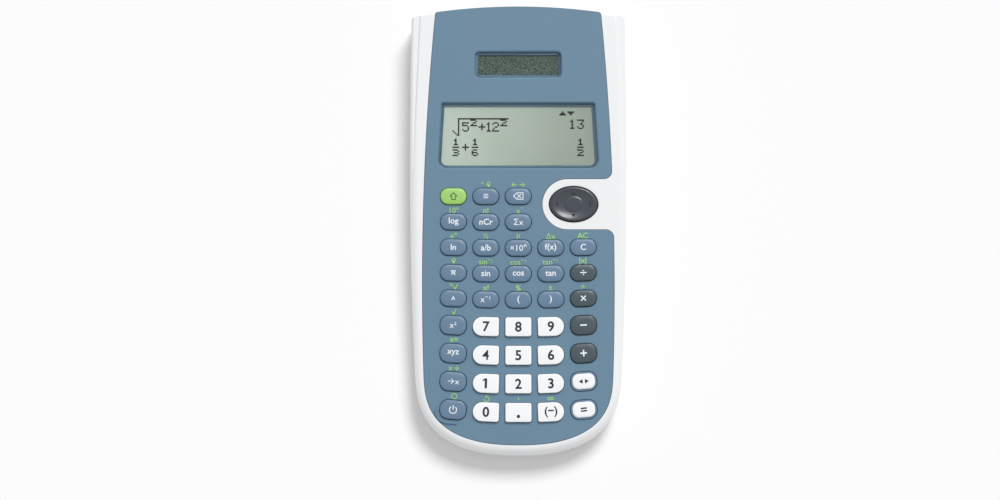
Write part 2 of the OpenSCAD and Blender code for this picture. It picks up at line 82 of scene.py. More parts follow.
# %% [markdown]
# ## Outlines
# The body has a barrel-shaped outline with a full, blunt nose, and the blue panel has a slimmer one inside
# it. Drawing them by hand would give wobbly sides. A formula gives clean ones: a long arc for the sides, and
# a rounded power curve that closes the nose. Each outline can be asked for at any inset, with the same
# number of points, so that one ring can be joined to the next.

# %% Outline of the body
body_width = case_high[0] - case_low[0]
body_length = panel_high[1] / math.cos(tilt) * 2
band_width = 5.0
nose_tip = -body_length / 2
end_radius = 227.0
BODY = dict(width=body_width, middle=29.0, lower=1600.0, upper=3400.0, tip=nose_tip, nose=32.0, power=0.42,
            top=body_length / 2 - 0.3, corner=1.2)
PANEL = dict(width=body_width - 2 * band_width, middle=-18.0, lower=1100.0, upper=1100.0,
             tip=nose_tip + 3.5, nose=27.5, power=0.42, top=body_length / 2, corner=0.8)


def half_width(shape, y, inset=0.0):
    """Half the outline's width at y. In the nose, t runs from 0 to 1 at the tip."""
    nose = shape["nose"] - inset
    tip = shape["tip"] + inset
    t = min(1.0, max(0.0, (tip + nose - y) / nose))
    radius = shape["upper"] if y > shape["middle"] else shape["lower"]
    bulge = shape["width"] / 2 - inset - (y - shape["middle"]) ** 2 / (2 * radius)
    return bulge * (1 - t ** 3) ** shape["power"]


def arc(x, y, radius, start, stop, steps):
    """Points of an arc, without its first one, angles in degrees."""
    angles = [math.radians(start + (stop - start) * i / steps) for i in range(1, steps + 1)]
    return [(x + radius * math.cos(a), y + radius * math.sin(a)) for a in angles]


def side_points(shape, inset, start, stop, steps):
    """Points up the right side, without the first one."""
    ys = [start + (stop - start) * i / steps for i in range(1, steps + 1)]
    return [(half_width(shape, y, inset), y) for y in ys]


def nose_points(shape, inset, steps=30):
    """Points up the right side of the nose, close together at the tip."""
    nose = shape["nose"] - inset
    tip = shape["tip"] + inset
    ys = [tip + nose * (i / steps) ** 2.6 for i in range(1, steps + 1)]
    return [(half_width(shape, y, inset), y) for y in ys]


def corner_and_end(shape, inset, end_inset):
    """The right corner at the display end and half of the end's arc, and where the corner starts.

    The corner's place depends on the arc and the arc's on the corner, so a few rounds settle both.
    """
    radius = max(shape["corner"] - inset, 0.5)
    top = shape["top"] - end_inset
    y = top - 3.5
    for _ in range(8):
        x = half_width(shape, y, inset) - radius
        y = top - x * x / (2 * end_radius) - radius
    points = arc(x, y, radius, 0, 90, 5)
    steps = 8
    points += [(x * (1 - i / steps), top - (x * (1 - i / steps)) ** 2 / (2 * end_radius))
               for i in range(1, steps + 1)]
    return points, (x + radius, y)


def mirrored(right, shape, inset):
    """A whole outline from its right half, which ends in the middle of the display end."""
    tip = (0.0, shape["tip"] + inset)
    left = [(-x, y) for x, y in reversed(right[:-1])]
    return [tip] + right + left


def body_outline(inset=0.0, end_inset=None):
    """The body's outline, that much further in, with an inset of its own at the display end if it has one."""
    end, start = corner_and_end(BODY, inset, inset if end_inset is None else end_inset)
    nose_top = BODY["tip"] + BODY["nose"]
    right = nose_points(BODY, inset) + side_points(BODY, inset, nose_top, start[1], 18) + end
    return mirrored(right, BODY, inset)


print(len(body_outline()), "points,", round(body_width, 1), "mm wide")

# %% [markdown]
# The panel's outline is richer. On the right, a white island of the front case reaches in round the cursor
# pad, and the blue panel rounds off above and below it in two soft lobes. The island's edge is an arc, so an
# inset of the panel is a larger arc there: one inset value moves every stretch the right way.

# %% Outline of the panel
pad_x = sum(c[0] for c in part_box("nav_pad")) / 2 / MM
pad_middle_depth = 1.05
pad_y = on_face_y("nav_pad", pad_middle_depth)
island_radius = 9.75
island_x = pad_x - 2.2
island_run = 8
lobe = 3.0


def panel_right(inset):
    """The right side of the panel, round the island."""
    low_y = pad_y - island_radius - inset
    high_y = pad_y + island_radius + inset
    low_edge = half_width(PANEL, low_y - lobe)
    high_edge = half_width(PANEL, high_y + lobe)
    nose_top = PANEL["tip"] + PANEL["nose"]
    low_centre = pad_y - island_radius - lobe
    high_centre = pad_y + island_radius + lobe
    points = nose_points(PANEL, inset) + side_points(PANEL, inset, nose_top, low_centre, 12)
    points += arc(low_edge - lobe, low_centre, lobe - inset, 0, 90, 7)
    points += [(island_x + island_run, low_y), (island_x, low_y)]
    points += arc(island_x, pad_y, island_radius + inset, 270, 90, 26)
    points += [(island_x + island_run, high_y), (high_edge - lobe, high_y)]
    points += arc(high_edge - lobe, high_centre, lobe - inset, 270, 360, 7)
    return points, high_centre


def panel_outline(inset=0.0):
    """The panel's outline, that much further in."""
    right, y = panel_right(inset)
    end, start = corner_and_end(PANEL, inset, inset)
    right += side_points(PANEL, inset, y, start[1], 10) + end
    nose_top = PANEL["tip"] + PANEL["nose"]
    plain = nose_points(PANEL, inset) + side_points(PANEL, inset, nose_top, start[1], 24) + end
    tip = (0.0, PANEL["tip"] + inset)
    return [tip] + right + [(-x, y) for x, y in reversed(plain[:-1])]


print(len(panel_outline()), "points, island at", round(island_x, 2), round(pad_y, 2))

# %% [markdown]
# ## Modelling helpers
# Most pieces here are mouldings: an outline that rises, rounds over and closes. A real modeller would add a
# circle, shape it to the outline and extrude it again and again, and that is what `loft` does. After each
# extrude, the new ring of corners lies on the old one, so each corner is moved to its place on the next ring.

# %% Lofting an outline


def deselect():
    """Leaves nothing selected, and Blender in object mode."""
    if bpy.context.object and bpy.context.object.mode != "OBJECT":
        bpy.ops.object.mode_set(mode="OBJECT")
    for obj in bpy.context.selected_objects:
        obj.select_set(False)


def choose(*objs):
    """Selects these objects only. The first is active."""
    deselect()
    for obj in objs:
        obj.select_set(True)
    bpy.context.view_layer.objects.active = objs[0]


def ring(outline, z):
    """An outline at a height, as points in metres."""
    return [Vector((x, y, z)) * MM for x, y in outline]


def loft(name, rings):
    """A closed solid through rings of points, made by extruding its first face again and again."""
    deselect()
    bpy.ops.mesh.primitive_circle_add(vertices=len(rings[0]), radius=1, fill_type="NGON")
    obj = bpy.context.object
    obj.name = obj.data.name = name
    for vertex, point in zip(obj.data.vertices, rings[0]):
        vertex.co = point
    bpy.ops.object.mode_set(mode="EDIT")
    bpy.ops.mesh.select_all(action="SELECT")
    for below, above in zip(rings, rings[1:]):
        bpy.ops.mesh.extrude_region_move()
        tree = kdtree.KDTree(len(below))
        for i, point in enumerate(below):
            tree.insert(point, i)
        tree.balance()
        edit = bmesh.from_edit_mesh(obj.data)
        for vertex in [v for v in edit.verts if v.select]:
            vertex.co = above[tree.find(vertex.co)[1]]
        bmesh.update_edit_mesh(obj.data)
    bpy.ops.mesh.select_all(action="SELECT")
    bpy.ops.mesh.normals_make_consistent(inside=False)
    bpy.ops.object.mode_set(mode="OBJECT")
    return obj


def boolean(obj, tool, operation="DIFFERENCE"):
    """Cuts tool out of obj, or joins it on, and removes the tool."""
    cut = obj.modifiers.new("cut", "BOOLEAN")
    cut.object = tool
    cut.operation = operation
    cut.solver = "EXACT"
    choose(obj)
    bpy.ops.object.modifier_apply(modifier=cut.name)
    bpy.data.objects.remove(tool)
    return obj


def joined(objs):
    """Several objects as one."""
    choose(*objs)
    bpy.ops.object.join()
    return bpy.context.object


def put(obj, matrix):
    """Moves an object's mesh, so that the object itself stays at the origin."""
    obj.data.transform(matrix)
    obj.data.update()
    return obj


def copy_of(obj, name, matrix):
    """A copy with its own mesh, in its own place."""
    twin = bpy.data.objects.new(name, obj.data.copy())
    twin.data.name = name
    bpy.context.scene.collection.objects.link(twin)
    return put(twin, matrix)


# %% [markdown]
# A moulding is smooth where it is rounded and crisp at a real edge. Smoothing by angle keeps edges above a
# limit sharp, and weighted normals keep large flat faces flat where they meet a small round.

# %% Finishing a piece


def smooth(obj, angle=38):
    """Smooth shading that keeps crisp edges crisp and flat faces flat."""
    choose(obj)
    bpy.ops.object.shade_smooth_by_angle(angle=math.radians(angle))
    weighted = obj.modifiers.new("weighted", "WEIGHTED_NORMAL")
    weighted.keep_sharp = True
    bpy.ops.object.modifier_apply(modifier=weighted.name)
    return obj


def finish(obj, material, body, replaces=(), face=True, angle=38):
    """Gives a modelled piece its place, its shading, its material and its body."""
    if face:
        put(obj, FACE)
    smooth(obj, angle)
    obj.data.materials.clear()
    obj.data.materials.append(material)
    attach(obj, body)
    if replaces:
        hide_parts(*replaces)
    return obj


# %% [markdown]
# ## Material helpers
# Colours are written as the hex values that a designer would pick, which are sRGB. Shaders want linear
# values, so one function converts them. One more adds a node with its settings and links.

# %% Colour and node helpers


def linear(hex_colour):
    """An sRGB hex colour as linear RGBA."""
    parts = [int(hex_colour[i:i + 2], 16) / 255 for i in (1, 3, 5)]
    return [c / 12.92 if c <= 0.04045 else ((c + 0.055) / 1.055) ** 2.4 for c in parts] + [1.0]


def add(material, kind, inputs=None, **settings):
    """Adds a node: settings are its properties, and inputs are values or links by socket name."""
    tree = material.node_tree
    made = tree.nodes.new(kind)
    for name, value in settings.items():
        setattr(made, name, value)
    for name, value in (inputs or {}).items():
        if isinstance(value, bpy.types.NodeSocket):
            tree.links.new(value, made.inputs[name])
        else:
            made.inputs[name].default_value = value
    return made


def plastic(name, colour, roughness, ior=1.54, grain_mm=0.12, grain_depth_mm=0.004, mottle=0.03):
    """A moulded plastic: even colour with a faint mottle, and the fine spark-eroded grain of its mould."""
    material = bpy.data.materials.new(name)
    material.use_nodes = True
    shader = material.node_tree.nodes["Principled BSDF"]
    place = add(material, "ShaderNodeTexCoord").outputs["Object"]
    broad = add(material, "ShaderNodeTexNoise", {"Vector": place, "Scale": 1 / (14 * MM), "Detail": 3.0})
    tone = add(material, "ShaderNodeHueSaturation", {
        "Color": linear(colour),
        "Value": add(material, "ShaderNodeMapRange", {
            "Value": broad.outputs["Fac"], "To Min": 1 - mottle, "To Max": 1 + mottle}).outputs["Result"]})
    fine = add(material, "ShaderNodeTexNoise", {"Vector": place, "Scale": 1 / (grain_mm * MM), "Detail": 2.0})
    sheen = add(material, "ShaderNodeMapRange", {
        "Value": fine.outputs["Fac"], "To Min": roughness - 0.05, "To Max": roughness + 0.05})
    bump = add(material, "ShaderNodeBump", {
        "Height": fine.outputs["Fac"], "Strength": 0.6, "Distance": grain_depth_mm * MM})
    tree = material.node_tree
    tree.links.new(tone.outputs["Color"], shader.inputs["Base Color"])
    tree.links.new(sheen.outputs["Result"], shader.inputs["Roughness"])
    tree.links.new(bump.outputs["Normal"], shader.inputs["Normal"])
    shader.inputs["IOR"].default_value = ior
    return material


# %% [markdown]
# ## Plastics
# The shells, the panel and the keys are ABS (IOR 1.54). What tells them apart is the mould: the white shells
# are nearly polished, the blue panel has a fine satin grain, and the keys are semi-gloss, worn a little
# smoother than the panel by their polish in the mould.

# %% Plastics of the calculator
abs_shell = plastic("ABS white shell", "#F0F1F2", 0.36, grain_mm=0.25, grain_depth_mm=0.003, mottle=0.006)
abs_panel = plastic("ABS satin blue", "#62839A", 0.5, grain_mm=0.16, grain_depth_mm=0.008, mottle=0.035)
abs_blue = plastic("ABS key blue", "#64809A", 0.36, grain_mm=0.2, grain_depth_mm=0.004, mottle=0.03)
abs_white = plastic("ABS key white", "#F7F8FA", 0.3, grain_mm=0.2, grain_depth_mm=0.002, mottle=0.006)
abs_dark = plastic("ABS key charcoal", "#44525A", 0.34, grain_mm=0.2, grain_depth_mm=0.004, mottle=0.03)
abs_green = plastic("ABS key green", "#9ED16C", 0.36, grain_mm=0.2, grain_depth_mm=0.004, mottle=0.02)
abs_pad = plastic("ABS pad charcoal", "#41474F", 0.27, grain_mm=0.2, grain_depth_mm=0.002, mottle=0.03)
acetal = plastic("acetal natural", "#CBCBC4", 0.42, ior=1.48, mottle=0.01)
rubber = plastic("rubber moulded", "#37383A", 0.78, ior=1.52, grain_mm=0.3, grain_depth_mm=0.02, mottle=0.08)
silicone = plastic("silicone sheet", "#D3CFC4", 0.55, ior=1.41, mottle=0.03)
epoxy = plastic("epoxy potting", "#1D1D1F", 0.3, ior=1.55, grain_mm=1.5, grain_depth_mm=0.05, mottle=0.1)
ink_white = plastic("pad print white", "#F2F6FA", 0.5, grain_mm=0.1, grain_depth_mm=0.003, mottle=0.02)
ink_black = plastic("pad print black", "#0C0D0F", 0.5, grain_mm=0.1, grain_depth_mm=0.003, mottle=0.05)
ink_green = plastic("pad print green", "#A0DC62", 0.5, grain_mm=0.1, grain_depth_mm=0.003, mottle=0.02)
print("plastics and inks:", len(bpy.data.materials))

# %% [markdown]
# ## Front case
# The front case is the white moulding that frames the face. It rises from the joint line, rounds over in a
# broad shoulder and drops into a pocket for the blue panel. The shoulder is a loft with its rings drawn in
# along a quarter circle. The pocket, the opening and the cavity are cut afterwards. A cutter that flares out
# at the top leaves a small round on the edge, so no bevel is needed on the cut mesh.

# %% Cutters with a soft lip
panel_thickness = 2.0
pocket_lip = 0.12
ledge_depth = 3.6
ledge_width = 2.4
wall = 1.8
joint_depth = 6.5
fit = 0.08


def round_over(radius, steps):
    """(draw-in, drop) pairs along a quarter circle, from the side to the top."""
    angles = [math.pi / 2 * i / steps for i in range(steps + 1)]
    return [(radius * (1 - math.cos(a)), radius * (1 - math.sin(a))) for a in angles]


def lipped(name, outline, inset, bottom, lip, top=0.0, steps=4):
    """A cutter that rises with straight sides and flares in a round of that radius at the top."""
    rings = [ring(outline(inset), bottom)]
    rings += [ring(outline(inset - draw), top - drop) for draw, drop in round_over(lip, steps)]
    rings.append(ring(outline(inset - lip), top + 1.5))
    return loft(name, rings)


# %% Front case
shoulder = 3.2
end_edge = 0.8


def drawn_in(radius, drop):
    """How far an edge of that radius has drawn in, that far below its top."""
    return radius - math.sqrt(radius ** 2 - (radius - min(radius, drop)) ** 2)


shoulder_rings = [ring(body_outline(0.2), -joint_depth), ring(body_outline(0), -joint_depth + 0.2)]
shoulder_rings += [ring(body_outline(draw, drawn_in(end_edge, drop)), -drop)
                   for draw, drop in round_over(shoulder, 12)]
front = loft("front_case_shell", shoulder_rings)
inner_wall = body_outline(wall)
boolean(front, loft("cavity", [ring(inner_wall, -joint_depth - 1), ring(inner_wall, -ledge_depth)]))
ledge_edge = panel_outline(ledge_width)
boolean(front, loft("opening", [ring(ledge_edge, -ledge_depth - 1), ring(ledge_edge, 1)]))
boolean(front, lipped("pocket", panel_outline, -fit, -panel_thickness, pocket_lip, steps=2))
print(len(front.data.polygons), "faces in the front case")

# %% [markdown]
# Along each side of the display, the shoulder steps down to a shallow rail. A hard cover slides on over it.
# The pad's hole in the island is an oval with the same kind of lip.

# %% Rails and the pad's hole
pad_size = [(high - low) / MM for low, high in zip(*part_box("nav_pad"))]
pad_half = (pad_size[0] / 2, 6.6)
rail_start = 22.0
rail_widths = (1.4, 3.4)
rail_depth = 0.9
rail_lip = 0.75


def oval(half, inset=0.0, points=72):
    """An oval outline round the pad's middle."""
    angles = [2 * math.pi * i / points for i in range(points)]
    reach_x, reach_y = half[0] - inset, half[1] - inset
    return [(pad_x + reach_x * math.cos(a), pad_y + reach_y * math.sin(a)) for a in angles]


def rail_outline(side, inset=0.0):
    """The strip that is cut away for one rail. It widens towards the display end."""
    points = []
    for i in range(16):
        share = i / 15
        y = rail_start + (body_length / 2 + 1 - rail_start) * share
        width = rail_widths[0] + (rail_widths[1] - rail_widths[0]) * share
        points.append((half_width(BODY, y) - width + inset, y + inset * (1 - share)))
    points += [(body_width / 2 + 4, body_length / 2 + 1), (body_width / 2 + 4, rail_start + inset)]
    return [(side * x, y) for x, y in points]


for side in (-1, 1):
    rail = lipped("rail", lambda inset: rail_outline(side, inset), 0, -rail_depth, rail_lip, steps=6)
    boolean(front, rail)
boolean(front, lipped("pad_hole", lambda inset: oval(pad_half, inset), -0.4, -joint_depth, 0.3))
finish(front, abs_shell, "root", ["front_case"])
print("front case:", len(front.data.polygons), "faces")

# %% [markdown]
# ## Rear case
# The rear case is a deep tray under the front case. Its floor is level with the table and its rim follows
# the sloping joint, so its rings are lofted in the table's frame and only the last ones are tilted. The
# inside is lofted in the same go: the rings turn over the rim and come down again as the inner wall.

# %% Rear case tray
foot_rise = 0.6
base_round = 3.0
rim_edge = 0.25
floor_top = foot_rise + wall


def tilted(outline, depth):
    """An outline on the sloping face, that far below it, as points in the table's frame."""
    return [FACE @ (Vector((x, y, -depth)) * MM) for x, y in outline]


tray = [ring(body_outline(draw), foot_rise + drop) for draw, drop in reversed(round_over(base_round, 8))]
tray += [tilted(body_outline(0), joint_depth + rim_edge), tilted(body_outline(rim_edge), joint_depth)]
tray += [tilted(body_outline(wall), joint_depth), ring(body_outline(wall), floor_top + 1.2)]
tray += [ring(body_outline(wall + 0.35), floor_top + 0.35), ring(body_outline(wall + 1.2), floor_top)]
rear = loft("rear_case_shell", tray)
print(len(rear.data.polygons), "faces in the tray")

# %% [markdown]
# Six deep bosses carry the case screws, and four shallow pockets hold the feet. The bosses are joined to the
# tray before the screw holes are drilled through both. A plain recessed field in the middle of the back takes
# the place where such products carry their rating plate. It stays bare.

# %% Bosses, screw holes and foot pockets


def cylinder(name, x, y, low, high, diameter, sides=48):
    """A round peg or drill along the vertical, in millimetres."""
    deselect()
    bpy.ops.mesh.primitive_cylinder_add(vertices=sides, radius=diameter / 2 * MM, depth=(high - low) * MM,
                                        location=(x * MM, y * MM, (low + high) / 2 * MM))
    obj = bpy.context.object
    obj.name = obj.data.name = name
    bpy.ops.object.transform_apply(location=True)
    return obj


def at_each(make, places):
    """One object made of a copy at each place."""
    return joined([make(x, y) for x, y in places])


screw_inset = 5.6
screw_rows = (-62.0, 6.0, 75.0)
screw_places = [(side * (half_width(BODY, y) - screw_inset), y) for y in screw_rows for side in (-1, 1)]
foot_places = [(-27.0, 66.0), (27.0, 66.0), (-25.0, -56.0), (25.0, -56.0)]
boss_diameter = 5.6
boss_top = 9.0
hole_diameter = 2.6
bore_diameter = 4.8
pocket_diameter = 8.3
seat_depth = 10.2
sunk = 0.5
bosses = at_each(lambda x, y: cylinder("boss", x, y, floor_top - sunk, boss_top, boss_diameter), screw_places)
boolean(rear, bosses, "UNION")
holes = at_each(lambda x, y: cylinder("hole", x, y, -1, 30, hole_diameter), screw_places)
boolean(rear, holes)
for x, y in screw_places:
    seat = face_height + y * math.sin(tilt) - seat_depth
    bore = cylinder("bore", x, y, -1, seat, bore_diameter)
    boolean(rear, bore)
pockets = at_each(lambda x, y: cylinder("pocket", x, y, -1, 1.2, pocket_diameter), foot_places)
boolean(rear, pockets)

# %% The bare field and the pad's post


def soft_rectangle(x_low, y_low, x_high, y_high, radius, inset=0.0):
    """A rectangle with rounded corners, counter-clockwise from its lower right."""
    r = max(radius - inset, 0.2)
    x_low, y_low, x_high, y_high = x_low + inset, y_low + inset, x_high - inset, y_high - inset
    return ([(x_high, y_low + r)] + arc(x_high - r, y_high - r, r, 0, 90, 6)
            + arc(x_low + r, y_high - r, r, 90, 180, 6) + arc(x_low + r, y_low + r, r, 180, 270, 6)
            + arc(x_high - r, y_low + r, r, 270, 354, 5))


field = (-24, -24, 24, 30, 3)
field_depth = 0.35
field_draft = 0.3
boolean(rear, loft("field", [ring(soft_rectangle(*field, -field_draft), foot_rise - 0.2),
                             ring(soft_rectangle(*field, 0.0), foot_rise + field_depth)]))
post_diameter = 3.6
post_top = face_height - 1.3 + pad_y * math.sin(tilt)
post = cylinder("post", pad_x, pad_y, floor_top - sunk, post_top, post_diameter)
boolean(rear, post, "UNION")
finish(rear, abs_shell, "root", ["rear_case"], face=False, angle=32)
print("rear case:", len(rear.data.polygons), "faces")

# %% [markdown]
# ## Face panel
# The blue panel is a plate that drops into the front case's pocket. It has a hole for every key, all with a
# soft lip that catches the light, and two recesses with a ledge for their windows. All the cutters for the
# holes are made first and joined, so that one cut opens them all.

# %% Where the keys are
KEYS = [
    # name, legend, second legend, row, column
    ("shift", "⇧", "", 0, -2), ("mode", "≡", "° θ", 0, -1), ("delete", "⌫", "←→", 0, 0),
    ("log", "log", "10ˣ", 1, -2), ("probability", "nCr", "n!", 1, -1), ("data", "Σx", "x̄", 1, 0),
    ("ln", "ln", "eˣ", 2, -2), ("fraction", "a/b", "½", 2, -1), ("exponent", "×10ⁿ", "µ", 2, 0),
    ("table", "f(x)", "Δx", 2, 1), ("clear", "C", "AC", 2, 2),
    ("pi", "π", "θ", 3, -2), ("sin", "sin", "sin⁻¹", 3, -1), ("cos", "cos", "cos⁻¹", 3, 0),
    ("tan", "tan", "tan⁻¹", 3, 1), ("divide", "÷", "|x|", 3, 2),
    ("power", "^", "ⁿ√", 4, -2), ("inverse", "x⁻¹", "x!", 4, -1), ("open_bracket", "(", "%", 4, 0),
    ("close_bracket", ")", "±", 4, 1), ("multiply", "×", "≠", 4, 2),
    ("square", "x²", "√", 5, -2), ("7", "7", "", 5, -1), ("8", "8", "", 5, 0), ("9", "9", "", 5, 1),
    ("minus", "−", "", 5, 2),
    ("variable", "xyz", "x=", 6, -2), ("4", "4", "", 6, -1), ("5", "5", "", 6, 0), ("6", "6", "", 6, 1),
    ("plus", "+", "", 6, 2),
    ("store", "→x", "x→", 7, -2), ("1", "1", "", 7, -1), ("2", "2", "", 7, 0), ("3", "3", "", 7, 1),
    ("answer", "◄ ►", "", 7, 2),
    ("on", "⏻", "○", 8, -2), ("0", "0", "↺", 8, -1), ("point", ".", ",", 8, 0),
    ("negative", "(−)", "∞", 8, 1), ("enter", "=", "", 8, 2),
]
smile = 1.1
last_row = 8
flange_depth = 2.575


def key_place(name, row):
    """(x, y, turn) of a key on the face. The turn follows the shallow smile of the rows."""
    low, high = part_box("key_" + name)
    x = (low[0] + high[0]) / 2 / MM
    outer = (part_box("key_enter")[0][0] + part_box("key_enter")[1][0]) / 2 / MM
    turn = math.atan(2 * smile * row / last_row * x / outer ** 2)
    return x, on_face_y("key_" + name, flange_depth), turn


def key_shape(row, column):
    """(length, left radius, right radius) of a key's outline."""
    if row <= 4:
        return 6.3, 3.05, 3.05
    full, small = 3.55, 0.9
    ends = {-2: (3.15, 3.15), -1: (full, small), 0: (small, small), 1: (small, full), 2: (3.15, 3.15)}
    return (7.3,) + ends[column]


key_width = 10.0
corner_steps = 8


def key_outline(shape, inset=0.0):
    """A key's outline round the origin: a box with its own end radius on the left and on the right."""
    length, left, right = shape
    x, y = key_width / 2 - inset, length / 2 - inset
    left, right = max(left - inset, 0.12), max(right - inset, 0.12)
    points = []
    corners = ((x - right, y - right, right, 0), (left - x, y - left, left, 90),
               (left - x, left - y, left, 180), (x - right, right - y, right, 270))
    for centre_x, centre_y, radius, start in corners:
        for i in range(corner_steps + 1):
            angle = math.radians(start + 90 * i / corner_steps)
            points.append((centre_x + radius * math.cos(angle), centre_y + radius * math.sin(angle)))
    return points


def key_matrix(place):
    """Puts something modelled round the origin at a key's place on the flat face."""
    return Matrix.Translation((place[0] * MM, place[1] * MM, 0)) @ Matrix.Rotation(place[2], 4, "Z")


places = {name: key_place(name, row) for name, _, _, row, _ in KEYS}
print("outer key of the last row turns", round(math.degrees(places["enter"][2]), 1), "degrees")

# %% The panel and its holes
key_gap = 0.14
hole_lip = 0.15
panel_edge = 0.3
window_depth = 0.6
window_thickness = 0.8
window_lip = 0.8
rim = 1.0
window_middle = window_depth + window_thickness / 2
lcd_width = 61.0
lcd_height = 25.0
lcd_y = on_face_y("display_window", window_middle)
solar_width = 32.9
solar_height = 9.8
solar_y = on_face_y("solar_window", window_middle)


def display_outline(inset=0.0):
    """The display window: nearly square corners above, full ones below, and a little wider below."""
    top, low = lcd_width / 2 - 1.2 - inset, lcd_width / 2 - inset
    high_y, low_y = lcd_y + lcd_height / 2 - inset, lcd_y - lcd_height / 2 + inset
    small, full = max(0.6 - inset, 0.12), max(3.2 - inset, 0.3)
    return ([(low, low_y + full)] + arc(top - small, high_y - small, small, 0, 90, 4)
            + [(0, high_y)] + arc(small - top, high_y - small, small, 80, 180, 4)
            + arc(full - low, low_y + full, full, 180, 270, 10)
            + [(0, low_y)] + arc(low - full, low_y + full, full, 270, 351, 9))


def solar_outline(inset=0.0):
    """The solar window."""
    return soft_rectangle(-solar_width / 2, solar_y - solar_height / 2, solar_width / 2,
                          solar_y + solar_height / 2, 1.6, inset)


plate = [ring(panel_outline(0), -panel_thickness)]
plate += [ring(panel_outline(draw), -drop) for draw, drop in round_over(panel_edge, 4)]
panel = loft("panel_plate", plate)
cutters = []
for name, _, _, row, column in KEYS:
    shape = key_shape(row, column)
    hole = lipped("hole", lambda inset: key_outline(shape, inset), -key_gap, -panel_thickness - 1, hole_lip,
                  steps=3)
    cutters.append(put(hole, key_matrix(places[name])))
boolean(panel, joined(cutters))
for outline in (display_outline, solar_outline):
    boolean(panel, lipped("recess", outline, 0, -window_depth - window_thickness, window_lip, steps=6))
    boolean(panel, loft("opening", [ring(outline(rim), -3), ring(outline(rim), 0)]))
finish(panel, abs_panel, "root", ["face_panel"])
print("panel:", len(panel.data.polygons), "faces")

# %% [markdown]
# A low ridge curls round the outside of the power key, so that a thumb can't press it by accident. It is a
# bead along an offset of the key's outline. A curve with a round bevel is the simplest way to make one.

# %% Guard ridge
ridge_out = 1.45
ridge_radius = 0.5
ridge_rise = 0.2
ridge_end = 2.2
on_shape = key_shape(8, -2)
guard = [p for p in key_outline(on_shape, -ridge_out) if p[1] < 0 and p[0] < ridge_end]
guard.sort(key=lambda p: math.atan2(p[1], p[0] - ridge_end) % (2 * math.pi))
curve = bpy.data.curves.new("guard", "CURVE")
curve.dimensions = "3D"
curve.bevel_depth = ridge_radius * MM
curve.bevel_resolution = 4
curve.use_fill_caps = True
spline = curve.splines.new("POLY")
spline.points.add(len(guard) - 1)
for point, (x, y) in zip(spline.points, guard):
    point.co = (x * MM, y * MM, ridge_rise * MM, 1)
ridge = bpy.data.objects.new("panel_ridge", curve)
bpy.context.scene.collection.objects.link(ridge)
choose(ridge)
bpy.ops.object.convert(target="MESH")
ridge = bpy.context.object
put(ridge, key_matrix(places["on"]))
finish(ridge, abs_panel, "root")
print("ridge:", len(ridge.data.polygons), "faces")

# %% [markdown]
# ## Keys
# A key is a cap with a crowned top and a rounded edge, standing on a flange that the panel holds in. It is
# one loft: up the stem, out under the flange, back in to the cap, up its side, round the edge and over the
# crown. The crown matters most. A flat top would look dead, and the crown gives each key its own highlight.

# %% Key caps
flange = 0.6
flange_top = -2.15
flange_low = -3.0
stem_low = -3.6
draft = 0.04


def crowned(shape, rise, edge, crown, start=draft):
    """Rings round a key's edge and over its crown."""
    half = shape[0] / 2
    level = rise - crown
    rings = []
    for draw, drop in round_over(edge, 5):
        rings.append(ring(key_outline(shape, start + draw), level - drop))
    for share in (0.28, 0.42, 0.58, 0.74):
        inset = max(share * half, start + edge + 0.05 * len(rings) - 0.2)
        rings.append(ring(key_outline(shape, inset), rise - crown * (1 - share) ** 2.2))
    return rings


def key_cap(name, shape, rise, edge, crown):
    """A whole key round the origin. Its stem is a key's outline made narrow."""
    narrow = [(x * 0.4, y) for x, y in key_outline((3.9, 1.95, 1.95))]
    rings = [ring(narrow, stem_low), ring(narrow, flange_low)]
    rings += [ring(key_outline(shape, -flange), flange_low), ring(key_outline(shape, -flange), flange_top)]
    rings += [ring(key_outline(shape), flange_top + 0.01)]
    return loft(name, rings + crowned(shape, rise, edge, crown))


function_rise = 1.1
number_rise = 1.4
FINISH = {
    "shift": (abs_green, "key_green"),
    "answer": (abs_white, "key_white"),
    "enter": (abs_white, "key_white"),
}
FINISH.update({name: (abs_dark, "key_dark") for name in ("divide", "multiply", "minus", "plus")})


def is_number(row, column):
    """Whether the key is one of the white number keys."""
    return row > 4 and abs(column) < 2


for name, _, _, row, column in KEYS:
    shape = key_shape(row, column)
    number = is_number(row, column)
    material, slot = FINISH.get(name, (abs_white, "key_white") if number else (abs_blue, "key_blue"))
    if name in ("answer", "enter"):
        collar = key_cap("collar_" + name, shape, 0.45, 0.25, 0.05)
        put(collar, key_matrix(places[name]))
        finish(collar, abs_blue, "key_" + name)
        rings = [ring(key_outline(shape, 0.7), 0.2)]
        cap = loft("cap_" + name, rings + crowned(shape, function_rise, 0.4, 0.12, start=0.72))
    elif number:
        cap = key_cap("cap_" + name, shape, number_rise, 0.32, 0.1)
    else:
        cap = key_cap("cap_" + name, shape, function_rise, 0.45, 0.2)
    put(cap, key_matrix(places[name]))
    finish(cap, material, "key_" + name, ["key_" + name], angle=50)
print("key caps made:", len(KEYS))

# %% [markdown]
# ## Legends
# The legends on real keys are pad printed: a film of ink a few hundredths of a millimetre thick. Here each
# is a text turned into a mesh, with just enough thickness to stand on the crown. Only plain numbers and
# mathematical signs are used.

# %% Printed legends
ink_thickness = 0.05


